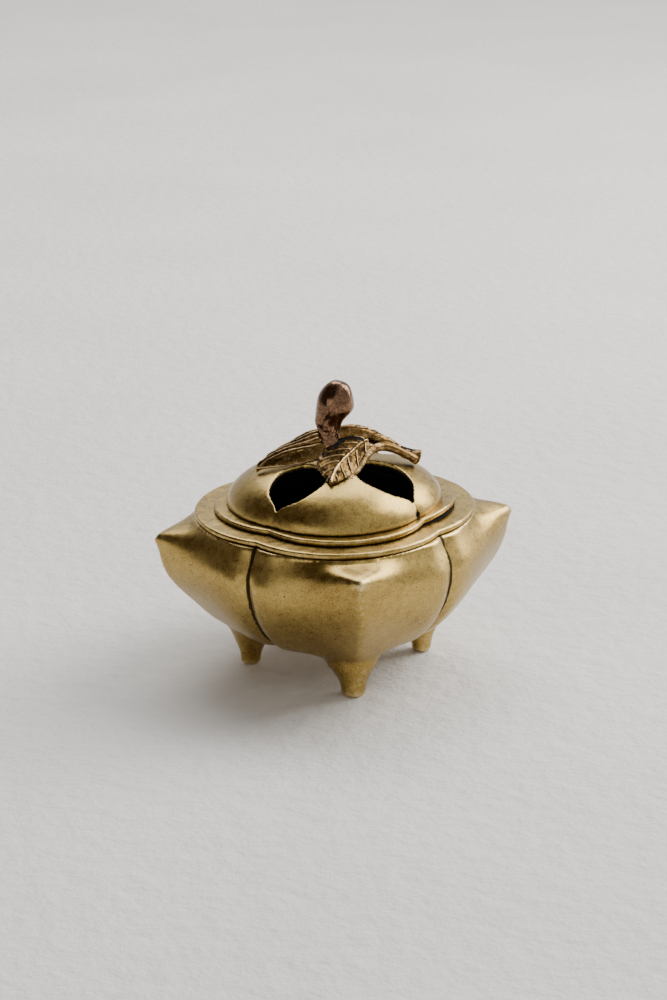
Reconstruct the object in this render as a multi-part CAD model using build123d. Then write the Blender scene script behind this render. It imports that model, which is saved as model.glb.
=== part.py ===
from build123d import *
import math
import os

# A small lidded incense burner in cast brass. Millimetres, +Z up, the feet stand on z = 0 and the
# bowl's axis is the Z axis. The four lobes point along +X, -X, +Y and -Y, and the grooves between
# them lie on the diagonals. The bowl, its collar and its feet are one body. The lid lifts straight
# off along +Z with its pierced dome, its locating ring and the budding twig that is its handle.

# Bowl: four lobes, each drawn out to a corner
tip_reach = 52.4          # axis to the corner of a lobe, at the crest
groove_margin = 0.5       # how far a groove stands outside the shoulder's notch, at the crest
groove_depth = 2.8        # how far the flanks stand out beside a groove
crest_height = 45.8       # corners of the lobes, above the ground
crest_dip = 1.0           # how much lower the crest lies at the grooves
bottom_height = 12.0      # underside of the bowl, above the ground
bowl_wall = 2.4
corner_backing = 2.0      # extra metal behind the corners
shoulder_wall = 2.6       # metal over the hollow, under the crest at a groove
crest_rounding = 1.2      # how far a flank draws in at the crest, between its corner and its groove
groove_lip = 0.72         # share of the groove's depth that is left just beside it
shoulder_rise = 1.9       # from the corners up to the seat of the collar
shoulder_hollow = 0.28    # share of that rise that is reached halfway in

# Rise of the belly as (share of the height, share of the tip reach, share of the groove reach)
belly_profile = [
    (0.00, 0.44, 0.54),
    (0.04, 0.60, 0.69),
    (0.13, 0.735, 0.81),
    (0.29, 0.83, 0.93),
    (0.51, 0.943, 1.028),
    (0.73, 1.008, 1.065),
    (0.88, 1.027, 1.05),
    (1.00, 1.00, 1.00),
]

# Feet: round legs that flare into the belly
foot_tip_radius = 2.7
foot_flare_radius = 10.4
foot_flare_power = 2.2    # how late the flare opens
foot_sink = 3.4           # how far the flare runs up past the bowl's underside
foot_edge = 0.7
foot_lean = 2.4           # how far a foot stands inside the ridge's lower end
foot_spread = 6.0         # how far the flare follows the ridge outwards

# Collar and lid share one family of outlines: four arcs about centres moved out by this much
lobe_offset = 10.0
mouth_reach = 32.5        # axis to the edge of the mouth, on a lobe
flange_overlap = 3.6      # how far the lid's brim lies over the collar
ledge_width = 5.8         # collar that shows outside the brim
collar_height = 1.7
collar_undercut = 0.35
collar_edge = 0.6
shoulder_margin = 0.5     # shoulder that shows outside the collar

# Lid
lid_gap = 0.15            # between the flange and the collar
flange_thickness = 1.6
flange_edge = 0.5
ring_clearance = 0.5      # between the locating ring and the mouth
ring_wall = 1.6
ring_depth = 4.5
dome_lobe_offset = 5.7
brim_width = 3.8          # flange that shows outside the dome
dome_rise = 13.6
dome_wall = 1.8
crown_margin = 0.2        # flat crown that shows round the foot of the finial

# Vents: four heart shapes, the point outwards on the seam
vent_margin = 1.9         # from the point of a vent out to the foot of the seam
vent_heel = 9.0           # axis to the blunt end of a vent
vent_half_width = 7.7
casting_hole_radius = 0.5

# Finial: a budding twig on a stem, riveted through the crown
stem_foot_radius = 3.9
stem_radius = 3.3
stem_rise = 8.6
stem_drift = 1.7          # how far the stem leans to the left before it turns to the bud
bud_length = 15.1
bud_radius = 5.0
bud_tilt = 18.0           # degrees from upright, to the right
rivet_radius = 1.5
rivet_head_radius = 2.4
rivet_head_height = 0.8
rivet_reach = 4.0         # how far the rivet goes up into the stem
washer_radius = 3.3
washer_thickness = 0.8
leaf_thickness = 1.0
twig_end_radius = 2.5
twig_waist_radius = 1.6
twig_root_radius = 2.4

def polar(reach, degrees, height=0.0):
    """Point at a reach from the axis, turned from +X."""
    angle = math.radians(degrees)
    return Vector(reach * math.cos(angle), reach * math.sin(angle), height)


def notch_reach(reach, offset):
    """Axis to a notch of a four-arc outline that reaches out this far on its lobes."""
    radius = reach - offset
    return (offset + math.sqrt(2 * radius ** 2 - offset ** 2)) / math.sqrt(2)


# Places that follow from the sizes above
flange_reach = mouth_reach + flange_overlap
collar_reach = flange_reach + ledge_width
shoulder_reach = collar_reach + shoulder_margin
shoulder_notch = notch_reach(shoulder_reach, lobe_offset)
groove_reach = shoulder_notch + groove_margin
seat_height = crest_height + shoulder_rise
dome_reach = flange_reach - brim_width
seam_reach = notch_reach(dome_reach, dome_lobe_offset)
vent_tip = seam_reach - vent_margin
ring_reach = mouth_reach - ring_clearance
ring_bore_reach = ring_reach - ring_wall
collar_top = seat_height + collar_height
flange_bottom = collar_top + lid_gap
flange_top = flange_bottom + flange_thickness
crown_share = math.sqrt(1 - ((stem_foot_radius + crown_margin) / dome_reach) ** 2)
crown_top = flange_top + dome_rise * crown_share
crown_bottom = flange_top + (dome_rise - dome_wall) * crown_share
neck_height = crown_top + stem_rise

flank_angle = 38.0        # degrees from a lobe's axis to where the flank turns into the groove


def ring_height(degrees, at_ridge, at_groove):
    """The crest dips quickly beside a corner and then runs level to the groove."""
    return at_groove + (at_ridge - at_groove) * (1 - degrees / 45) ** 2


def corner_half_angle(ridge, groove):
    """Angle at a corner between its radius and a flank that ends just outside the groove."""
    share = (groove + groove_depth) / ridge
    turn = math.radians(flank_angle)
    return math.atan2(share * math.sin(turn), 1 - share * math.cos(turn))


def flank_edge(ridge, ridge_z, groove, groove_z, inset, start, side):
    """Half a lobe: from its corner along the nearly flat flank and round into the groove."""
    corner = corner_half_angle(ridge, groove)
    points = []
    for turn in (0.0, 18.0, 32.0, 40.0):
        reach = ridge * math.sin(corner) / math.sin(corner + math.radians(turn))
        if turn == 40.0:
            reach = groove + groove_lip * groove_depth
        reach -= inset * math.sin(math.radians(4 * turn))
        points.append(polar(reach, start + side * turn, ring_height(turn, ridge_z, groove_z)))
    points.append(polar(groove, start + side * 45.0, groove_z))
    leaving = polar(1.0, start + side * (180.0 - math.degrees(corner)))
    arriving = polar(1.0, start + 180.0)
    return Edge.make_spline(points, tangents=[leaving, arriving])


def lobed_wire(ridge, ridge_z, groove, groove_z, inset=0.0):
    """Closed outline of the bowl at one level, made of eight half lobes."""
    edges = []
    for start in (0.0, 90.0, 180.0, 270.0):
        for side in (-1, 1):
            edges.append(flank_edge(ridge, ridge_z, groove, groove_z, inset, start, side))
    return Wire(edges)


def arc_point(reach, offset, start, share):
    """Point of a lobe's arc, at a share of the way from the lobe's axis to the notch."""
    radius = reach - offset
    notch = polar(notch_reach(reach, offset), 45.0)
    swing = math.degrees(math.atan2(notch.Y, notch.X - offset)) * share
    centre = polar(offset, start)
    return centre + polar(radius, start + swing)


def quatrefoil_wire(reach, offset, height):
    """Closed outline of four arcs that meet in notches on the diagonals."""
    lift = Vector(0, 0, height)
    edges = []
    for start in (0.0, 90.0, 180.0, 270.0):
        for side in (-1, 1):
            ends = [arc_point(reach, offset, start, side * share) + lift for share in (0, 0.5, 1)]
            edges.append(Edge.make_three_point_arc(*ends))
    return Wire(edges)


def quatrefoil_plate(reach, bottom, height):
    """Plate with the outline that the collar and the lid share."""
    face = Face(quatrefoil_wire(reach, lobe_offset, bottom))
    return Solid.extrude(face, Vector(0, 0, height))


def belly_reaches(share):
    """Reach of the ridge and of the groove at a share of the belly's height."""
    for (low, ridge_a, groove_a), (high, ridge_b, groove_b) in zip(belly_profile, belly_profile[1:]):
        if share <= high:
            mix = (share - low) / (high - low)
            ridge = ridge_a + (ridge_b - ridge_a) * mix
            groove = groove_a + (groove_b - groove_a) * mix
            return ridge * tip_reach, groove * groove_reach
    return tip_reach, groove_reach


def belly_solid():
    """The bowl before it is hollowed."""
    rise = crest_height - bottom_height
    wires = []
    for share, ridge, groove in belly_profile:
        level = bottom_height + share * rise
        dip = crest_dip * share ** 4
        inset = crest_rounding * share ** 8
        wires.append(lobed_wire(ridge * tip_reach, level, groove * groove_reach, level - dip, inset))
    middle = crest_height + shoulder_hollow * shoulder_rise
    ridge = (tip_reach + shoulder_reach) / 2
    groove = (groove_reach + shoulder_notch) / 2
    wires.append(lobed_wire(ridge, middle, groove, middle - crest_dip / 2, crest_rounding / 2))
    wires.append(quatrefoil_wire(shoulder_reach, lobe_offset, seat_height))
    return Solid.make_loft(wires)


def cavity_solid():
    """The hollow of the bowl, up to the underside of the shoulder."""
    floor = bottom_height + bowl_wall
    ceiling = crest_height - crest_dip - shoulder_wall
    wires = []
    for share, ridge, groove in belly_profile[:-1]:
        level = floor + share / belly_profile[-2][0] * (ceiling - floor)
        inset = bowl_wall + corner_backing * share
        wires.append(
            lobed_wire(ridge * tip_reach - inset, level, groove * groove_reach - bowl_wall, level)
        )
    return Solid.make_loft(wires)


def make_bowl(belly):
    mouth = quatrefoil_plate(mouth_reach, bottom_height + bowl_wall + 10, seat_height)
    return belly - cavity_solid() - mouth


def foot_solid(belly):
    """One foot under the +X corner, cut to the belly that it is brazed to."""
    ridge_end, _ = belly_reaches(belly_profile[1][0])
    outer = ridge_end - foot_lean
    wires = []
    for share in (0.0, 0.3, 0.5, 0.65, 0.8, 0.9, 1.0):
        flare = share ** foot_flare_power
        radius = foot_tip_radius + (foot_flare_radius - foot_tip_radius) * flare
        centre = outer + foot_spread * flare - radius
        wires.append(Wire.make_circle(radius, Plane((centre, 0, share * (bottom_height + foot_sink)))))
    foot = Solid.make_loft(wires)
    sole = foot.edges().sort_by(Axis.Z)[0]
    return foot.fillet(foot_edge, [sole]) - belly


def top_outline(plate):
    """Outer edges of a plate's top face."""
    return plate.faces().sort_by(Axis.Z)[-1].outer_wire().edges()


def make_collar():
    """Stepped ring round the mouth, with a narrow neck that leaves a dark line under it."""
    rim_bottom = seat_height + collar_undercut
    neck = quatrefoil_plate(collar_reach - collar_undercut, seat_height, collar_undercut)
    rim = quatrefoil_plate(collar_reach, rim_bottom, collar_height - collar_undercut)
    rim = rim.fillet(collar_edge, top_outline(rim))
    mouth = quatrefoil_plate(mouth_reach, seat_height - 1, collar_height + 2)
    return (neck + rim) - mouth


def make_flange():
    """Flat brim of the lid."""
    plate = quatrefoil_plate(flange_reach, flange_bottom, flange_thickness)
    plate = plate.fillet(flange_edge, top_outline(plate))
    return plate - quatrefoil_plate(ring_bore_reach, flange_bottom - 1, flange_thickness + 2)


def make_locating_ring():
    """Sleeve under the brim that keeps the lid in the mouth."""
    ring = quatrefoil_plate(ring_reach, flange_bottom - ring_depth, ring_depth)
    return ring - quatrefoil_plate(ring_bore_reach, flange_bottom - ring_depth - 1, ring_depth + 2)


def dome_solid(inset):
    """Pillowed dome with an elliptical rise, set in by the wall to make its own hollow."""
    reach = dome_reach - inset
    wires = []
    for share in (0.0, 0.28, 0.54, 0.75, 0.9, crown_share):
        scale = math.sqrt(1 - share ** 2)
        height = flange_top + (dome_rise - inset) * share
        wires.append(quatrefoil_wire(reach * scale, dome_lobe_offset * scale, height))
    return Solid.make_loft(wires)


def vent_cutter():
    """Upright prism with the outline of a heart, its point on the seam at 45 degrees."""
    length = vent_tip - vent_heel
    side = [(0.2, 0.7), (0.46, 1.0), (0.74, 0.95), (0.93, 0.6)]
    flank = [(vent_tip - along * length, across * vent_half_width) for along, across in side]
    halves = []
    for mirror in (1, -1):
        points = [(vent_tip, 0)] + [(x, mirror * y) for x, y in flank] + [(vent_heel, 0)]
        halves.append(Edge.make_spline(points, tangents=[(-1, 1.25 * mirror), (0, -mirror)]))
    prism = Solid.extrude(Face(Wire(halves)), Vector(0, 0, crown_top + 1))
    return prism.rotate(Axis.Z, 45)


def make_dome():
    dome = dome_solid(0) - dome_solid(dome_wall)
    for quarter in range(4):
        dome -= vent_cutter().rotate(Axis.Z, 90 * quarter)
    seam = polar(seam_reach, -45)
    hole = Plane((seam.X, seam.Y, flange_top + 2 * casting_hole_radius), z_dir=(1, -1, 0))
    dome -= Solid.make_cylinder(casting_hole_radius, 3 * dome_wall, hole.offset(-2 * dome_wall))
    return dome - Solid.make_cylinder(rivet_radius, 3 * dome_wall, Plane((0, 0, crown_bottom - dome_wall)))


def bud_plane():
    """Plane across the neck of the bud, its normal along the bud."""
    tilt = math.radians(bud_tilt)
    return Plane((-stem_drift, 0, neck_height), x_dir=(math.cos(tilt), 0, -math.sin(tilt)),
                 z_dir=(math.sin(tilt), 0, math.cos(tilt)))


def make_stem():
    """Knobbly stem between the crown and the bud."""
    wires = [Wire.make_circle(stem_foot_radius, Plane((0, 0, crown_top)))]
    for share in (0.35, 0.7):
        place = (-stem_drift * share, 0, crown_top + stem_rise * share)
        wires.append(Wire.make_circle(stem_radius, Plane(place)))
    wires.append(Wire.make_circle(stem_radius, bud_plane()))
    return Solid.make_loft(wires) - rivet_shank(rivet_reach)


def make_bud():
    """Egg-shaped bud, turned about its own leaning axis."""
    profile = [(stem_radius, 0), (1.02 * stem_radius, 0.25), (bud_radius, 0.66), (0.62 * bud_radius, 0.93)]
    points = [(radius, along * bud_length) for radius, along in profile] + [(0, bud_length)]
    side = Edge.make_spline(points, tangents=[(0, 1), (-1, 0)])
    base = Edge.make_line((0, 0), (stem_radius, 0))
    axis = Edge.make_line((0, bud_length), (0, 0))
    face = Face(Wire([base, side, axis])).rotate(Axis.X, 90)
    bud = Solid.revolve(face, 360, Axis.Z)
    return bud.moved(bud_plane().location)


def rivet_shank(reach):
    length = crown_top - crown_bottom + washer_thickness + reach
    return Solid.make_cylinder(rivet_radius, length, Plane((0, 0, crown_bottom - washer_thickness)))


def make_washer():
    place = Plane((0, 0, crown_bottom - washer_thickness))
    washer = Solid.make_cylinder(washer_radius, washer_thickness, place)
    return washer - rivet_shank(rivet_reach)


def make_rivet():
    base = crown_bottom - washer_thickness - rivet_head_height
    return rivet_shank(rivet_reach) + Solid.make_cylinder(rivet_head_radius, rivet_head_height, Plane((0, 0, base)))


def over_dome(x, y, lift):
    """Point at a height above the dome's surface."""
    share = (x * x + y * y) / dome_reach ** 2
    return Vector(x, y, flange_top + dome_rise * math.sqrt(1 - share) + lift)


def blade(stations):
    """Thin leaf through stations of (edge, edge, arch): a curve over each pair and a flatter one under."""
    wires = []
    for near, far, arch in stations:
        near = over_dome(*near)
        far = over_dome(*far)
        over = (near + far) / 2 + Vector(0, 0, arch)
        under = over - Vector(0, 0, leaf_thickness)
        wires.append(Wire([Edge.make_spline([near, over, far]), Edge.make_spline([far, under, near])]))
    return Solid.make_loft(wires)


def make_leaf_left():
    """Long leaf that lies over the dome to the left, its front edge low."""
    return blade([
        ((-2.4, -4.4, 1.6), (-2.8, 3.2, 7.2), 1.6),
        ((-6.0, -4.8, 0.8), (-6.8, 3.8, 6.8), 1.7),
        ((-11.0, -4.6, 0.6), (-11.4, 4.2, 5.0), 1.6),
        ((-16.0, -3.6, 0.8), (-16.4, 3.4, 3.6), 1.3),
        ((-20.0, -2.0, 1.1), (-20.2, 1.9, 2.7), 0.7),
        ((-23.2, -0.3, 1.7), (-23.2, 0.3, 1.7), -0.2),
    ])


def make_leaf_front():
    """Broad leaf that springs from the twig and comes down over the front lobe."""
    return blade([
        ((7.0, -1.6, 6.4), (10.6, -3.8, 4.3), 0.6),
        ((1.2, -2.6, 5.5), (8.8, -6.8, 3.1), 0.9),
        ((-3.4, -4.4, 3.8), (7.3, -9.4, 1.4), 1.7),
        ((-6.2, -8.4, 2.4), (5.1, -12.2, 0.6), 1.8),
        ((-6.2, -13.0, 1.4), (2.2, -15.2, 0.6), 1.2),
        ((-4.2, -18.6, 0.6), (-3.6, -18.8, 0.6), 0.6),
    ])


def make_twig():
    """Arched twig from the stem to its flared cut end on the right."""
    stations = [
        (0.0, 5.5, 0.5, twig_root_radius),
        (6.0, 7.1, 0.0, twig_root_radius),
        (12.0, 5.9, -0.5, 0.9 * twig_root_radius),
        (18.0, 3.8, -0.65, twig_waist_radius),
        (23.5, 2.8, -0.6, 1.15 * twig_waist_radius),
        (25.6, 3.1, -0.5, twig_end_radius),
    ]
    wires = []
    for x, lift, slope, radius in stations:
        place = Plane(over_dome(x, 0, lift), x_dir=(0, 1, 0), z_dir=(1, 0, slope))
        wires.append(Wire.make_circle(radius, place))
    return Solid.make_loft(wires)


def as_solid(shape):
    """The one solid in the result of a cut."""
    solids = shape.solids()
    assert len(solids) == 1, len(solids)
    return solids[0]


def build():
    belly = belly_solid()
    nodes = {"bowl": make_bowl(belly), "mouth_collar": make_collar()}
    foot = as_solid(foot_solid(belly))
    for name, turn in (("right", 0), ("back", 90), ("left", 180), ("front", 270)):
        nodes["foot_" + name] = foot.rotate(Axis.Z, turn)
    nodes["lid_flange"] = make_flange()
    nodes["lid_locating_ring"] = make_locating_ring()
    nodes["lid_dome"] = make_dome()
    nodes["finial_stem"] = make_stem()
    nodes["finial_bud"] = make_bud()
    nodes["finial_rivet"] = make_rivet()
    nodes["rivet_washer"] = make_washer()
    core = nodes["finial_stem"] + rivet_shank(rivet_reach)
    nodes["twig"] = make_twig() - core - nodes["finial_bud"]
    nodes["leaf_left"] = make_leaf_left() - core - nodes["twig"]
    nodes["leaf_front"] = make_leaf_front() - core - nodes["twig"] - nodes["leaf_left"]
    return nodes


os.makedirs("parts", exist_ok=True)
for name, shape in build().items():
    solid = as_solid(shape)
    solid.label = name
    export_step(solid, "parts/" + name + ".step")
    print(name, round(solid.volume, 1), solid.is_valid)
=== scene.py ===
import math

import bmesh
import bpy
from mathutils import Matrix, Vector, geometry, noise


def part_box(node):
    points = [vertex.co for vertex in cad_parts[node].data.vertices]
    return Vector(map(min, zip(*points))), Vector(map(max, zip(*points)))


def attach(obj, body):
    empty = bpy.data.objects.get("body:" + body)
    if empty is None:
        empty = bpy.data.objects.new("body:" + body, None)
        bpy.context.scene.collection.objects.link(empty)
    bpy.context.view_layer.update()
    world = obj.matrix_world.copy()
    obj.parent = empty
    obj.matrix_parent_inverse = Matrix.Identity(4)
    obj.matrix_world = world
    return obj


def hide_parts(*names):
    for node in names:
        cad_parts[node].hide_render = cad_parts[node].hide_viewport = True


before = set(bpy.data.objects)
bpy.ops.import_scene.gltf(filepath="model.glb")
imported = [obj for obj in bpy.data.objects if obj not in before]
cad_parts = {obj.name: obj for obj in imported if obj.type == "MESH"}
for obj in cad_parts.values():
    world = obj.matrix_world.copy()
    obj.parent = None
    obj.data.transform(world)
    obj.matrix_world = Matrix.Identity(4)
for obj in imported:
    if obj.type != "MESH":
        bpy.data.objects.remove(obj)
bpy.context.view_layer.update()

# A small lidded incense burner in cast brass. Metres, +Z up, the feet stand on z = 0 and the front
# lobe points along -Y. Each casting is an even, fine mesh made from its part in the frame. It is
# then worked by hand, as the founder's wax was, and carries two attributes that the metals read:
# relief says where it is hollow or proud, and dirt_and_shade says where dirt has gathered and where
# shade is painted: darker at the collar's seam and the dome's foot, black inside, under the brim and in the
# slit.

MM = 0.001
COLLECTION = bpy.context.scene.collection

BOWL_LOW, BOWL_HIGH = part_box("bowl")
DOME_LOW, DOME_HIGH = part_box("lid_dome")
FOOT_LOW, FOOT_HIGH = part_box("foot_front")
COLLAR_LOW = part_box("mouth_collar")[0]
BUD_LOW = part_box("finial_bud")[0]
FLANGE_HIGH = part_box("lid_flange")[1]
STEM_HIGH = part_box("finial_stem")[1]
TWIG_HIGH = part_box("twig")[1]


# Helpers for shapes

def new_object(name, bm):
    """Puts a finished bmesh in the scene as an object at the origin."""
    mesh = bpy.data.meshes.new(name)
    bm.to_mesh(mesh)
    bm.free()
    obj = bpy.data.objects.new(name, mesh)
    COLLECTION.objects.link(obj)
    return obj


def cad_copy(*nodes):
    """The merged meshes of CAD nodes, as one bmesh."""
    bm = bmesh.new()
    for name in nodes:
        bm.from_mesh(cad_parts[name].data)
    bmesh.ops.remove_doubles(bm, verts=bm.verts, dist=1e-7)
    bm.normal_update()
    return bm


def soften(bm, passes, verts=None):
    """Smooths the whole mesh, or the vertices given."""
    for _ in range(passes):
        bmesh.ops.smooth_vert(bm, verts=bm.verts if verts is None else verts, factor=0.5, use_axis_x=True,
                              use_axis_y=True, use_axis_z=True)


def soften_by(bm, passes, weight):
    """Smooths each vertex as often as its weight from 0 to 1 asks."""
    weighted = [(weight(v.co, v.normal), v) for v in bm.verts]
    weighted = [(share, v) for share, v in weighted if share * passes >= 1]
    for turn in range(passes):
        soften(bm, 1, [v for share, v in weighted if share * passes > turn])


def swell(bm, distance):
    """Thickens a shape all over."""
    bm.normal_update()
    for v in bm.verts:
        v.co += v.normal * distance


def recast(name, bm, voxel, passes=2):
    """Meshes a shape evenly, which rounds its edges as a casting's are, and smooths it lightly."""
    rough = new_object(name + "_rough", bm)
    remesh = rough.modifiers.new("remesh", "REMESH")
    remesh.mode = "VOXEL"
    remesh.voxel_size = voxel
    even = bmesh.new()
    even.from_object(rough, bpy.context.evaluated_depsgraph_get())
    bpy.data.objects.remove(rough)
    soften(even, passes)
    even.normal_update()
    return even


def fractal(place, size, stretch=(1, 1, 1)):
    """Smooth noise from about -1 to 1, with features about as large as size, longer by stretch."""
    spread = Vector([along / (size * longer) for along, longer in zip(place, stretch)])
    return noise.fractal(spread, 1.0, 2.0, 3)


def smoothstep(low, high, value):
    """0 up to low, 1 from high on, and a smooth rise between them."""
    share = min(max((value - low) / (high - low), 0.0), 1.0)
    return share * share * (3 - 2 * share)


def bell(value, middle, width):
    """1 at the middle, falling smoothly to 0 on both sides."""
    return math.exp(-((value - middle) / width) ** 2)


def reach_of(place):
    """Distance from the upright axis."""
    return math.hypot(place.x, place.y)


def angle_of(place):
    """Degrees from +X."""
    return math.degrees(math.atan2(place.y, place.x))


def rough_up(bm, depth, size, stretch=(1, 1, 1)):
    """Uneven surface, as wax modelled by hand leaves it."""
    bm.normal_update()
    for v in bm.verts:
        v.co += v.normal * depth * fractal(v.co, size, stretch)


def mark_relief(bm, passes, depth):
    """Stores how hollow (above 0) or proud (below 0) the surface is, against itself smoothed flat."""
    layer = bm.verts.layers.float.new("relief")
    bm.normal_update()
    kept = [(v.co.copy(), v.normal.copy()) for v in bm.verts]
    soften(bm, passes)
    for v, (place, normal) in zip(bm.verts, kept):
        v[layer] = max(-1.0, min(1.0, (v.co - place).dot(normal) / depth))
        v.co = place


def finish_piece(name, bm, body, nodes, material, dirt_and_shade=None):
    """Makes the piece, marks its dirt and painted shade, and lets it stand for its CAD nodes."""
    layer = bm.verts.layers.float.new("dirt_and_shade")
    bm.normal_update()
    for v in bm.verts:
        v[layer] = dirt_and_shade(v.co, v.normal) if dirt_and_shade else 0.0
    for face in bm.faces:
        face.smooth = True
    obj = new_object(name, bm)
    obj.data.materials.append(material)
    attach(obj, body)
    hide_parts(*nodes)


BLACK_SHADE = 2.0  # dirt_and_shade above 1 is painted black shade


def black_shade_inside(place, normal, centre):
    """Painted black shade where the surface faces the hollow round a centre."""
    outward = place - centre
    return BLACK_SHADE * smoothstep(0.15, 0.45, -outward.dot(normal) / outward.length)


# Materials

def linear(code):
    """Linear colour from an sRGB hex code."""
    channels = [int(code[i:i + 2], 16) / 255 for i in (0, 2, 4)]
    return [c / 12.92 if c <= 0.04045 else ((c + 0.055) / 1.055) ** 2.4 for c in channels] + [1.0]


def add(tree, kind, values=None, out=0, stops=(), **settings):
    """Adds a shader node with its settings, a ramp's stops and its inputs, and gives one output."""
    made = tree.nodes.new("ShaderNode" + kind)
    for key, value in settings.items():
        setattr(made, key, value)
    for index, (place, code) in enumerate(stops):
        elements = made.color_ramp.elements
        element = elements[index] if index < 2 else elements.new(place)
        element.position = place
        element.color = linear(code)
    for key, value in (values or {}).items():
        if isinstance(value, bpy.types.NodeSocket):
            tree.links.new(value, made.inputs[key])
        else:
            made.inputs[key].default_value = value
    return made.outputs[out]


def old_metal(name, tones, worn, dirt_tone, pit_chance=0.13, rough=(0.27, 0.42), polish=(0.62, 1.05)):
    """Old cast metal: toned patches and fine grain, gas pits, bright proud edges, dirt in hollows, and the
    dirt and painted shade that dirt_and_shade marks.
    """
    material = bpy.data.materials.new(name)
    material.use_nodes = True
    tree = material.node_tree
    shader = tree.nodes["Principled BSDF"]
    place = add(tree, "TexCoord", out=3)
    relief = add(tree, "Attribute", out=2, attribute_name="relief")
    dirt_and_shade = add(tree, "Attribute", out=2, attribute_name="dirt_and_shade")

    # Patches of 18 mm, mottling of 2 mm, and the 0.4 mm grain that a sand mould leaves
    patches = add(tree, "TexNoise", {"Vector": place, "Scale": 1 / (18 * MM), "Detail": 3.0})
    mottle = add(tree, "TexNoise", {"Vector": place, "Scale": 1 / (2.0 * MM), "Detail": 5.0,
                                    "Roughness": 0.62})
    grain = add(tree, "TexNoise", {"Vector": place, "Scale": 1 / (0.4 * MM), "Detail": 2.0,
                                   "Roughness": 0.6})
    tone = add(tree, "Mix", {0: 0.5, 2: patches, 3: mottle})
    tone = add(tree, "Mix", {0: 0.5, 2: tone, 3: grain})
    colour = add(tree, "ValToRGB", {0: tone}, stops=tones)

    # Handling keeps the proud edges bright
    proud = add(tree, "Math", {0: relief, 1: -1.0, 2: mottle}, operation="MULTIPLY_ADD")
    wear = add(tree, "MapRange", {0: proud, 1: polish[0], 2: polish[1], 4: 0.8})
    colour = add(tree, "Mix", {0: wear, 6: colour, 7: linear(worn)}, out=2, data_type="RGBA")

    # Dirt fills hollows; dirt and painted shade lie where the dirt_and_shade attribute says
    hollow = add(tree, "Math", {0: relief, 1: mottle}, operation="ADD")
    hollow = add(tree, "MapRange", {0: hollow, 1: 0.92, 2: 1.4, 4: 0.9})
    laid_dirt_and_shade = add(tree, "Math", {0: dirt_and_shade, 1: mottle}, operation="ADD")
    laid_dirt_and_shade = add(tree, "MapRange", {0: laid_dirt_and_shade, 1: 0.7, 2: 1.2, 4: 0.95})
    dirt_and_shade_share = add(tree, "Math", {0: hollow, 1: laid_dirt_and_shade}, operation="MAXIMUM")
    colour = add(tree, "Mix", {0: dirt_and_shade_share, 6: colour, 7: linear(dirt_tone)}, out=2, data_type="RGBA")

    # Gas pits a third of a millimetre wide, in loose clusters
    cells = add(tree, "TexVoronoi", {"Vector": place, "Scale": 1 / (2.6 * MM)})
    cluster = add(tree, "TexNoise", {"Vector": place, "Scale": 1 / (9 * MM), "Detail": 2.0})
    pit_size = add(tree, "MapRange", {0: cluster, 1: 0.48, 2: 0.75, 4: pit_chance})
    pit = add(tree, "Math", {0: cells, 1: pit_size}, operation="LESS_THAN")
    colour = add(tree, "Mix", {0: pit, 6: colour, 7: linear("241808")}, out=2, data_type="RGBA")

    # Painted black shade where dirt_and_shade is above 1: near-black and not metallic
    black_shade = add(tree, "MapRange", {0: dirt_and_shade, 1: 1.1, 2: 1.7})
    colour = add(tree, "Mix", {0: black_shade, 6: colour, 7: linear("090706")}, out=2, data_type="RGBA")
    tree.links.new(colour, shader.inputs["Base Color"])
    metal_off_in_shade = add(tree, "MapRange", {0: dirt_and_shade, 1: 1.1, 2: 1.7, 3: 1.0, 4: 0.0})
    tree.links.new(metal_off_in_shade, shader.inputs["Metallic"])

    dull = add(tree, "MapRange", {0: mottle, 1: 0.3, 2: 0.7, 3: rough[0], 4: rough[1]})
    dull = add(tree, "Math", {0: dirt_and_shade_share, 1: 0.3, 2: dull}, operation="MULTIPLY_ADD")
    dull = add(tree, "Math", {0: black_shade, 1: 0.3, 2: dull}, operation="MULTIPLY_ADD")
    tree.links.new(dull, shader.inputs["Roughness"])
    height = add(tree, "Mix", {0: 0.8, 2: mottle, 3: grain})
    height = add(tree, "Math", {0: pit, 1: -1.0, 2: height}, operation="MULTIPLY_ADD")
    bump = add(tree, "Bump", {"Height": height, "Strength": 0.3, "Distance": 0.07 * MM})
    tree.links.new(bump, shader.inputs["Normal"])
    return material


def plaster():
    """Trowelled gypsum plaster, matt and nearly white, with low ridges a few millimetres apart."""
    material = bpy.data.materials.new("trowelled_plaster")
    material.use_nodes = True
    tree = material.node_tree
    shader = tree.nodes["Principled BSDF"]
    shader.inputs["Roughness"].default_value = 0.9
    place = add(tree, "TexCoord", out=3)
    cloud = add(tree, "TexNoise", {"Vector": place, "Scale": 1 / (120 * MM), "Detail": 4.0})
    ridge = add(tree, "TexNoise", {"Vector": place, "Scale": 1 / (7 * MM), "Detail": 5.0, "Roughness": 0.6})
    tone = add(tree, "ValToRGB", {0: cloud}, stops=[(0.3, "dddad6"), (0.7, "e6e4e1")])
    tree.links.new(tone, shader.inputs["Base Color"])
    bump = add(tree, "Bump", {"Height": ridge, "Strength": 1.0, "Distance": 1.3 * MM})
    tree.links.new(bump, shader.inputs["Normal"])
    return material


# Sand-cast brass gone olive and brown with age: a soft warm sheen, yellow where hands rub it.
BRASS = old_metal("antique_cast_brass",
                  [(0.34, "765b28"), (0.46, "9e8347"), (0.56, "b19757"), (0.68, "c2aa6c")],
                  "e6d096", "22170a", rough=(0.25, 0.36), polish=(0.72, 1.25))
# The same brass, darker and dirty all over, on the rivet and its washer under the crown
DARK_BRASS = old_metal("darker_brass", [(0.38, "3a2c16"), (0.5, "5f4b2a"), (0.62, "766038")],
                       "98804a", "120c06")
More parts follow.
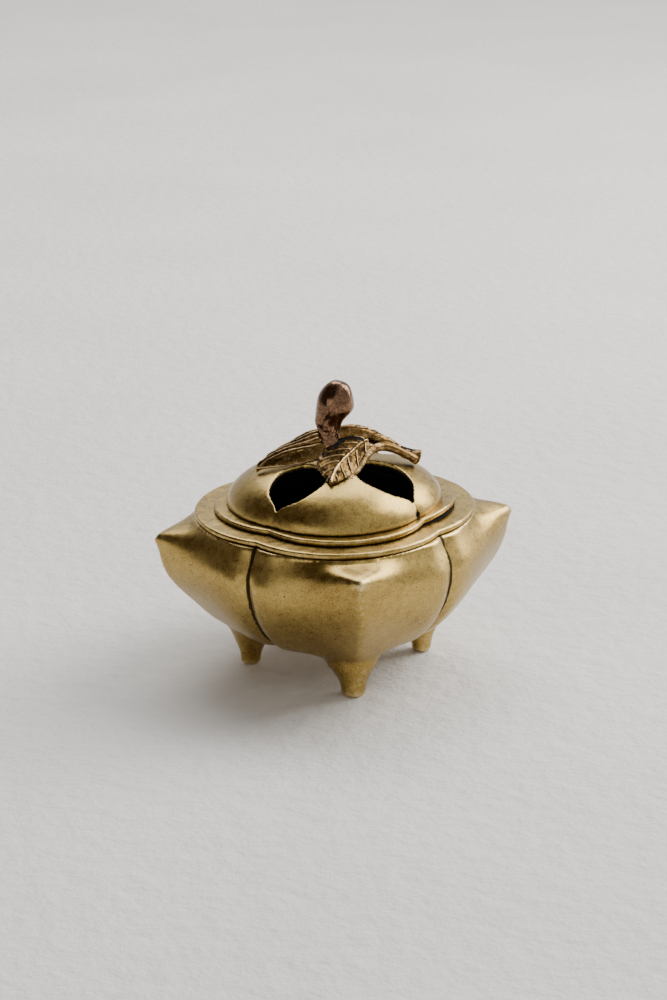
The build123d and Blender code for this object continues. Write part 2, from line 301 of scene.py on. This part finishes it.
# Cast twig and leaves: brown patina, rubbed through to brass on every rib
TWIG_BRONZE = old_metal("brown_patina_bronze",
                        [(0.36, "38240f"), (0.47, "624822"), (0.57, "80653a"), (0.68, "977c48")],
                        "d3b68a", "140d07", pit_chance=0.08, rough=(0.26, 0.42), polish=(0.6, 1.0))
# The bud: red-brown patina burnished by lifting the lid
BUD_COPPER = old_metal("burnished_red_patina",
                       [(0.36, "2e2118"), (0.47, "5c4636"), (0.56, "805f48"), (0.68, "9c775c")],
                       "cda58a", "0f0a07", pit_chance=0.06, rough=(0.12, 0.26), polish=(0.7, 1.2))


# Bowl and collar

GROOVE_TURN = -1.6        # degrees that the right front groove stands round from its diagonal
RIDGE_LEAN = (1.0, -1.3)  # degrees that the front ridge is turned, at the foot and at the crest
LEFT_DROOP = 1.9 * MM     # how far the left corner hangs below the others
FRONT_STEP = 2.4 * MM     # how far the front foot's sole stands forward of its leg
FRONT_PULL = 1.6 * MM     # how far the belly comes down round the front foot
LOBE_OFFSET = 10 * MM     # axis to the middle of each arc of the brim
CREST_PASSES = 110        # smoothing of the broadest part of the crest


def turn_about_axis(place, degrees):
    place.rotate(Matrix.Rotation(math.radians(degrees), 3, "Z"))


def shift_groove(bm, inner, outer):
    """The right front groove was cut a little off its diagonal."""
    for v in bm.verts:
        near = bell(angle_of(v.co), -45, 13) * smoothstep(inner, outer, reach_of(v.co))
        turn_about_axis(v.co, GROOVE_TURN * near)


def lean_front_ridge(bm):
    low, high = RIDGE_LEAN
    for v in bm.verts:
        in_front = smoothstep(0.86, 0.99, -v.co.y / max(reach_of(v.co), MM))
        rise = smoothstep(BOWL_LOW.z, BOWL_HIGH.z, v.co.z)
        turn_about_axis(v.co, (low + (high - low) * rise) * in_front)


def round_crest(bm):
    """Rounds the crest of each flank broadly and the ridges a little, and leaves the corners sharp."""
    def weight(place, normal):
        off_ridge = abs((angle_of(place) + 45) % 90 - 45)
        outside = 1.0 if normal.x * place.x + normal.y * place.y > -0.2 * reach_of(place) else 0.0
        level = smoothstep(36 * MM, 42 * MM, place.z) * (1 - smoothstep(46.3 * MM, 47.2 * MM, place.z))
        crest = level * smoothstep(2, 17, off_ridge) * (1 - 0.8 * smoothstep(41, 45, off_ridge))
        ridge = 0.12 * (1 - smoothstep(3, 8, off_ridge)) * (1 - smoothstep(38 * MM, 44 * MM, place.z))
        return outside * max(crest, ridge * smoothstep(16 * MM, 20 * MM, place.z))
    soften_by(bm, CREST_PASSES, weight)


def shape_feet(bm):
    """Runs the legs into the belly in wide concave flares, and sets the front sole forward."""
    top = FOOT_HIGH.z + 3 * MM
    near = [v for v in bm.verts if 8 * MM < v.co.z < top + 1 * MM and reach_of(v.co) > 16 * MM
            and min(abs(v.co.x), abs(v.co.y)) < 15 * MM]
    soften(bm, 16, near)
    sole = (FOOT_LOW + FOOT_HIGH) / 2
    for v in bm.verts:
        gap = (v.co - sole).to_2d().length
        pull = (1 - smoothstep(3 * MM, 15 * MM, gap)) * smoothstep(3 * MM, 11 * MM, v.co.z)
        if v.co.z < 24 * MM:
            v.co.z -= FRONT_PULL * pull
    bm.normal_update()
    for v in bm.verts:
        if v.co.z < top:
            front = -v.co.y > 14 * MM and abs(v.co.x) < 14 * MM
            fuller = 0.45 * bell(v.co.z, 9 * MM, 4 * MM) + (0.9 if front else 0.25)
            fuller *= 1 - smoothstep(9 * MM, top, v.co.z)
            v.co += Vector((v.normal.x, v.normal.y, 0)) * fuller * MM
            if front:
                v.co.y -= FRONT_STEP * (1 - smoothstep(0, top, v.co.z))


def brim_reach(place):
    """Axis to the edge of the brim, on the side where a place lies."""
    off_lobe = math.radians(abs((angle_of(place) + 45) % 90 - 45))
    across = LOBE_OFFSET * math.sin(off_lobe)
    return LOBE_OFFSET * math.cos(off_lobe) + math.sqrt((FLANGE_HIGH.x - LOBE_OFFSET) ** 2 - across ** 2)


def belly_dirt_and_shade(place, normal):
    """A thin uneven black line down each groove, and painted black shade inside the bowl."""
    off_diagonal = abs(abs(angle_of(place)) % 90 - 45)
    if abs(angle_of(place) + 45) < 20:
        off_diagonal = abs(angle_of(place) + 45 - GROOVE_TURN)
    across = math.radians(off_diagonal) * reach_of(place)
    width = (0.95 + 0.35 * fractal(place, 5 * MM)) * MM
    line = (1 - smoothstep(0.3 * width, width, across)) * smoothstep(14 * MM, 19 * MM, place.z)
    inside = place.z > 16 * MM or (normal.z > 0.5 and place.z > 13 * MM)
    black_shade = black_shade_inside(place, normal, Vector((0, 0, 32 * MM))) if inside else 0.0
    return max(line, black_shade)


def make_bowl():
    feet = ["foot_front", "foot_right", "foot_back", "foot_left"]
    bm = recast("bowl_casting", cad_copy("bowl", *feet), 0.66 * MM, passes=3)
    round_crest(bm)
    shape_feet(bm)
    lean_front_ridge(bm)
    shift_groove(bm, 34 * MM, 39 * MM)
    for v in bm.verts:
        v.co.z -= LEFT_DROOP * smoothstep(40 * MM, 54 * MM, -v.co.x)
    rough_up(bm, 0.05 * MM, 12 * MM)
    mark_relief(bm, 6, 0.3 * MM)
    finish_piece("bowl_casting", bm, "bowl", ["bowl"] + feet, BRASS, belly_dirt_and_shade)


def make_collar():
    bm = recast("collar_casting", cad_copy("mouth_collar"), 0.36 * MM, passes=3)
    shift_groove(bm, 34 * MM, 39 * MM)
    rough_up(bm, 0.08 * MM, 6 * MM)
    mark_relief(bm, 5, 0.2 * MM)

    def dirt_and_shade(place, normal):
        # Painted contact shade, made uneven, along the collar's foot where it meets the shoulder, and a
        # painted black shadow under the brim
        seam = 1 - smoothstep(0.1 * MM, 0.6 * MM, place.z - COLLAR_LOW.z)
        uneven = 0.6 + 0.5 * fractal(place, 6 * MM)
        shadow_under_brim = BLACK_SHADE * (1 - smoothstep(-0.6 * MM, 0.1 * MM, reach_of(place) - brim_reach(place)))
        return max(seam * uneven, shadow_under_brim)
    finish_piece("collar_casting", bm, "bowl", ["mouth_collar"], BRASS, dirt_and_shade)


# Lid

BRIM_LIFT = 1.1 * MM      # how far the brim is sprung up at the right front
CASTING_HOLE = Vector((21.2, -21.2, 52.3)) * MM


def make_flange():
    """The brim, sprung up a little over the right front, where it leaves a dark gap darkened by painted
    black shade on its underside.
    """
    bm = recast("flange_casting", cad_copy("lid_flange"), 0.34 * MM, passes=3)
    for v in bm.verts:
        outside = smoothstep(DOME_HIGH.x - 5 * MM, FLANGE_HIGH.x, reach_of(v.co))
        v.co.z += BRIM_LIFT * outside * bell(angle_of(v.co), -28, 20)
    rough_up(bm, 0.07 * MM, 5 * MM)
    mark_relief(bm, 5, 0.2 * MM)

    def dirt_and_shade(place, normal):
        # Painted black shade on the flange's underside and on its top inside the dome
        shade_under_dome = reach_of(place) < brim_reach(place) - (FLANGE_HIGH.x - DOME_HIGH.x) - 1 * MM
        return BLACK_SHADE * (shade_under_dome or normal.z < -0.5)
    finish_piece("flange_casting", bm, "lid", ["lid_flange"], BRASS, dirt_and_shade)


def make_ring():
    bm = recast("ring_casting", cad_copy("lid_locating_ring"), 0.45 * MM)
    mark_relief(bm, 4, 0.25 * MM)

    def dirt_and_shade(place, normal):
        # Painted black shade over the ring, hidden inside the lid
        return BLACK_SHADE * (reach_of(place) < FLANGE_HIGH.x)
    finish_piece("ring_casting", bm, "lid", ["lid_locating_ring"], BRASS, dirt_and_shade)


def make_dome():
    """The pierced dome, painted black inside as shade, with a hairline crack from the casting hole to its
    vent.
    """
    bm = recast("dome_casting", cad_copy("lid_dome"), 0.33 * MM, passes=5)
    rough_up(bm, 0.06 * MM, 8 * MM)
    for v in bm.verts:
        v.co -= v.normal * 0.9 * MM * bell((v.co - CASTING_HOLE).length, 0, 0.75 * MM)
    mark_relief(bm, 6, 0.2 * MM)
    centre = Vector((0, 0, DOME_LOW.z - 12 * MM))

    def dirt_and_shade(place, normal):
        # Painted contact shade round the dome's foot where it sits on the brim, and painted black shade in
        # the casting hole and inside
        foot = 0.8 * (1 - smoothstep(0.1 * MM, 0.7 * MM, place.z - DOME_LOW.z))
        off_crack = math.radians(abs(angle_of(place) + 45 + 2 * fractal(place, 2 * MM))) * reach_of(place)
        crack = (1 - smoothstep(0.08 * MM, 0.3 * MM, off_crack)) * (reach_of(place) > 24 * MM)
        hole_shade = BLACK_SHADE * (1 - smoothstep(0.7 * MM, 1.0 * MM, (place - CASTING_HOLE).length))
        return max(foot, crack, hole_shade, black_shade_inside(place, normal, centre))
    finish_piece("dome_casting", bm, "lid", ["lid_dome"], BRASS, dirt_and_shade)


# Finial: the knobbly stem and its bud, the twig and two leaves

BUD_TILT = math.radians(18.0)
NECK = Vector((BUD_LOW.x + 2.9 * MM, 0, STEM_HIGH.z - 1.0 * MM))  # where the bud sits on the stem
RIB_STEPS = 24
SLIT_POINTS = [(-1.3, -2, 69), (3.1, -2, 70.9), (5.2, -2, 71.2), (8.1, -2, 70.4)]
TWIG_SLIT = [Vector(point) * MM for point in SLIT_POINTS]


def in_slit(place):
    """1 in the slit between the twig and the front leaf, painted black as shade, 0 away from it."""
    nearest = 1.0
    for start, end in zip(TWIG_SLIT, TWIG_SLIT[1:]):
        foot, share = geometry.intersect_point_line(place, start, end)
        foot = start.lerp(end, min(max(share, 0.0), 1.0))
        nearest = min(nearest, math.hypot(place.x - foot.x, place.z - foot.z))
    uneven = 1 + 0.5 * fractal(place, 1.5 * MM)
    return (1 - smoothstep(0.1 * MM, 0.4 * uneven * MM, nearest)) * (place.y < 0)


def swell_bud(bm):
    """Fills out the lower half of the bud and folds a bract over its left side."""
    for v in bm.verts:
        height = v.co.z - NECK.z
        if height > -1 * MM:
            middle = Vector((NECK.x + height * math.tan(BUD_TILT), 0, v.co.z))
            fuller = 0.25 * bell(height, 4.6 * MM, 3.4 * MM)
            v.co += (v.co - middle) * fuller
            v.co.x -= 0.45 * MM * smoothstep(-1 * MM, 3 * MM, height)
    bm.normal_update()
    for v in bm.verts:
        height = v.co.z - NECK.z
        seam = v.co.x - (-4.6 * MM + 0.42 * height)
        bract = (1 - smoothstep(-0.5 * MM, 0.5 * MM, seam)) * smoothstep(0, 3 * MM, height)
        v.co += v.normal * 0.3 * MM * bract * (1 - smoothstep(8 * MM, 13 * MM, height))


def make_stem_and_bud():
    bm = recast("stem_and_bud_casting", cad_copy("finial_stem", "finial_bud"), 0.2 * MM, passes=3)
    neck = [v for v in bm.verts if abs(v.co.z - NECK.z) < 2 * MM]
    soften(bm, 30, neck)
    swell_bud(bm)
    bm.normal_update()
    for v in bm.verts:
        knobs = 1 - smoothstep(-1 * MM, 5 * MM, v.co.z - NECK.z)
        root = 0.7 * (1 - smoothstep(-5 * MM, -2 * MM, v.co.z - NECK.z))
        lumps = 0.06 * fractal(v.co, 4 * MM) + 0.32 * knobs * fractal(v.co, 1.6 * MM, (1, 1, 1.6))
        v.co += v.normal * (root + lumps) * MM
    mark_relief(bm, 8, 0.16 * MM)

    def dirt_and_shade(place, normal):
        height = place.z - NECK.z
        streak = 0.45 * smoothstep(0.1, 0.6, fractal(place, 1.6 * MM, (1, 1, 4)))
        # Streaks are kept off the right side, towards the windows, so that it reads lighter: a painted lit
        # side
        painted_lit_side = 0.9 * smoothstep(-1 * MM, 3 * MM, place.x) * bell(height, 9 * MM, 5 * MM)
        return streak * smoothstep(-3 * MM, 1 * MM, height) * (1 - painted_lit_side)
    finish_piece("stem_and_bud_casting", bm, "lid", ["finial_bud", "finial_stem"], BUD_COPPER, dirt_and_shade)


def rib_line(*points):
    """Points in millimetres along a smooth line through a start, a pull and an end."""
    start, pull, end = [Vector(point) * MM for point in points]
    return geometry.interpolate_bezier(start, start.lerp(pull, 2 / 3), end.lerp(pull, 2 / 3), end, RIB_STEPS)


def along_and_across(place, line):
    """Distance along a line seen from above, and the signed distance to its left."""
    best = (1.0, 0.0, 0.0)
    travelled = 0.0
    for start, end in zip(line, line[1:]):
        run = (end - start).to_2d()
        offset = (place - start).to_2d()
        share = min(max(offset.dot(run) / run.length_squared, 0.0), 1.0)
        gap = offset - run * share
        if gap.length < best[0]:
            side = 1 if run.x * offset.y - run.y * offset.x > 0 else -1
            best = (gap.length, travelled + share * run.length, side * gap.length)
        travelled += run.length
    return best[1], best[2]


def leaf_veins(place, line, spacing, lean):
    """Height of a leaf's midrib and side veins, from 0 to 1."""
    along, across = along_and_across(place, line)
    out = abs(across)
    midrib = bell(out, 0, 0.42 * MM)
    bend = lean * out * (1.0 if across < 0 else 1.5 - 0.06 * out / MM)
    apart = spacing * (1.0 if across < 0 else 1.35)
    wave = ((along - bend) / apart) % 1.0
    side = bell(abs(wave - 0.5) * apart, 0, 0.32 * MM) * smoothstep(0.3 * MM, 1.0 * MM, out)
    return max(midrib, 0.8 * side * (1 - smoothstep(4.5 * MM, 6.5 * MM, out)))


def left_leaf_folds(place):
    """Long folds down the upper part of the left leaf, from 0 to 1, and an even lower edge."""
    wander = 0.5 * MM * fractal(place, 5 * MM, (3, 1, 1))
    across = place.y + 0.12 * place.x + wander
    fold = 0.5 + 0.5 * math.cos(math.tau * across / (1.5 * MM))
    upper = smoothstep(-4 * MM, -2.5 * MM, across)
    return fold * upper + 0.6 * (1 - upper)


def make_leaf(name, node, veins, streak, depth):
    """A leaf with a rounded rim, its veins standing proud on top, and folds that run as streak says."""
    shape = cad_copy(node)
    swell(shape, 0.28 * MM)
    bm = recast(name, shape, 0.16 * MM, passes=3)
    bm.normal_update()
    for v in bm.verts:
        on_top = smoothstep(0.0, 0.4, v.normal.z)
        folds = fractal(v.co, 1.1 * MM, streak)
        v.co += v.normal * on_top * (0.5 * MM * veins(v.co) + depth * folds)
    mark_relief(bm, 8, 0.14 * MM)

    def dirt_and_shade(place, normal):
        between = 1 - smoothstep(0.05, 0.4, veins(place))
        dust = 0.6 * between * smoothstep(-0.3, 0.4, fractal(place, 1.6 * MM, streak))
        # Dust between the veins, and painted black shade in the slit
        return max(dust, BLACK_SHADE * in_slit(place))
    finish_piece(name, bm, "lid", [node], TWIG_BRONZE, dirt_and_shade)


def tube_along(points, radii):
    """Closed tube on a smooth curve through points in millimetres."""
    data = bpy.data.curves.new("strand", "CURVE")
    data.dimensions = "3D"
    data.bevel_depth = 1 * MM
    data.bevel_resolution = 5
    data.use_fill_caps = True
    spline = data.splines.new("NURBS")
    spline.points.add(len(points) - 1)
    for target, place, radius in zip(spline.points, points, radii):
        target.co = (*(Vector(place) * MM), 1)
        target.radius = radius
    spline.order_u = 4
    spline.use_endpoint_u = True
    strand = bpy.data.objects.new("strand", data)
    mesh = bpy.data.meshes.new_from_object(strand)
    bm = bmesh.new()
    bm.from_mesh(mesh)
    bpy.data.objects.remove(strand)
    bmesh.ops.remove_doubles(bm, verts=bm.verts, dist=1e-6)
    bmesh.ops.recalc_face_normals(bm, faces=bm.faces)
    return bm


TWIG_EDGE = [(-1.5, -17.3, 61.9), (3.2, -14.6, 62.7), (6.6, -10.6, 64.9), (9.0, -6.8, 67.2),
             (12.5, -3.6, 68.2), (16.5, -2.2, 67.2), (20.5, -1.9, 65.0), (24.4, -1.8, 62.4)]
TWIG_EDGE_RADII = [0.5, 0.8, 0.9, 1.1, 1.4, 1.4, 1.1, 1.1]


def make_twig():
    """Bark-ribbed twig, with the bright rim that sweeps up to it from the front leaf's margin."""
    shape = cad_copy("twig")
    rim = tube_along(TWIG_EDGE, TWIG_EDGE_RADII)
    rim_mesh = bpy.data.meshes.new("rim")
    rim.to_mesh(rim_mesh)
    shape.from_mesh(rim_mesh)
    bm = recast("twig_casting", shape, 0.18 * MM, passes=2)
    bm.normal_update()
    for v in bm.verts:
        bark = 1 - 0.85 * smoothstep(0.6 * MM, 1.6 * MM, -v.co.y)
        v.co += v.normal * 0.34 * MM * bark * fractal(v.co, 0.9 * MM, (6, 1, 1))
    end = TWIG_HIGH.x - 0.8 * MM
    for v in bm.verts:
        if v.co.x > end and v.normal.x > 0.6:
            v.co.x -= 0.5 * MM
    mark_relief(bm, 8, 0.15 * MM)

    def dirt_and_shade(place, normal):
        bark = 0.8 * smoothstep(-0.05, 0.4, fractal(place, 1.3 * MM, (5, 1, 1)))
        on_rim = smoothstep(0.8 * MM, 2.2 * MM, -place.y)
        # Dirt in the bark, kept off the rubbed rim, and painted black shade in the slit
        return max(bark * (1 - on_rim), BLACK_SHADE * in_slit(place))
    finish_piece("twig_casting", bm, "lid", ["twig"], TWIG_BRONZE, dirt_and_shade)


def make_leaves():
    make_leaf("leaf_left_casting", "leaf_left", left_leaf_folds, (9, 1, 1), 0.1 * MM)
    rib = rib_line((10.7, -2, 0), (-1.5, -11, 0), (-3.9, -19.2, 0))
    make_leaf("leaf_front_casting", "leaf_front", lambda place: leaf_veins(place, rib, 3.1 * MM, 0.9),
              (1.5, 2.5, 1), 0.12 * MM)


def make_fastening():
    for name, node in (("rivet_turned", "finial_rivet"), ("washer_cut", "rivet_washer")):
        bm = recast(name, cad_copy(node), 0.2 * MM)
        mark_relief(bm, 4, 0.2 * MM)
        finish_piece(name, bm, "lid", [node], DARK_BRASS, lambda place, normal: 0.9)


make_bowl()
make_collar()
make_flange()
make_ring()
make_dome()
make_stem_and_bud()
make_leaves()
make_twig()
make_fastening()


# Floor, light and camera

DAYLIGHT = (1.0, 0.98, 0.95)
DIM_SIDE = (-0.75, -0.05, 0.66)  # the way to the dim part of the room
DIM_TONE = "54483a"
AIM = Vector((0, 0, 40 * MM))    # the middle of the object


def make_floor():
    bm = bmesh.new()
    bmesh.ops.create_grid(bm, x_segments=8, y_segments=8, size=5.0)
    floor = new_object("floor", bm)
    floor.data.materials.append(plaster())


def area_light(name, place, size, power, colour=(1, 1, 1)):
    """A soft panel that faces the object."""
    data = bpy.data.lights.new(name, "AREA")
    data.shape = "RECTANGLE"
    data.size, data.size_y = size
    data.energy = power
    data.color = colour
    lamp = bpy.data.objects.new(name, data)
    lamp.location = place
    lamp.rotation_euler = (AIM - Vector(place)).to_track_quat("-Z", "Y").to_euler()
    COLLECTION.objects.link(lamp)


def make_room():
    """A pale room, dim high on the left, which the left-hand slopes of the bowl reflect."""
    world = bpy.data.worlds.new("room")
    world.use_nodes = True
    tree = world.node_tree
    toward = add(tree, "TexCoord")
    leftness = add(tree, "VectorMath", {0: toward, 1: DIM_SIDE}, out=1, operation="DOT_PRODUCT")
    dim = add(tree, "MapRange", {0: leftness, 1: 0.4, 2: 0.84})
    colour = add(tree, "Mix", {0: dim, 6: linear("e2e2e2"), 7: linear(DIM_TONE)}, out=2, data_type="RGBA")
    tree.links.new(colour, tree.nodes["Background"].inputs["Color"])
    tree.nodes["Background"].inputs["Strength"].default_value = 0.97
    bpy.context.scene.world = world


def make_lights():
    """Two windows to the right, the larger one high; a panel above and behind; a low fill on the left."""
    area_light("window", (0.9, 0.3, 0.85), (0.8, 0.8), 18.0, DAYLIGHT)
    area_light("low_window", (1.2, 0.28, 0.38), (0.35, 0.5), 4.0, DAYLIGHT)
    area_light("ceiling", (0.1, 1.3, 1.7), (1.6, 1.2), 32.0)
    area_light("fill", (-1.0, -0.9, 0.35), (0.9, 0.5), 2.0)


def make_camera():
    """An 85 mm lens at head height over a table, a little to the left of the front lobe."""
    turn, tilt, roll = math.radians(8.64), math.radians(19.95), math.radians(0.77)
    distance, height, shift = 662.4 * MM, 291.2 * MM, 0.32 * MM
    data = bpy.data.cameras.new("camera")
    data.lens = 85.0
    data.sensor_width = 36.0
    data.clip_start, data.clip_end = 0.02, 20.0
    camera = bpy.data.objects.new("camera", data)
    around = Matrix.Rotation(-turn, 4, "Z")
    place = Matrix.Translation((-shift, -distance, height))
    aim = Matrix.Rotation(math.pi / 2 - tilt, 4, "X") @ Matrix.Rotation(-roll, 4, "Z")
    camera.matrix_world = around @ place @ aim
    COLLECTION.objects.link(camera)
    bpy.context.scene.camera = camera


make_floor()
make_room()
make_lights()
make_camera()
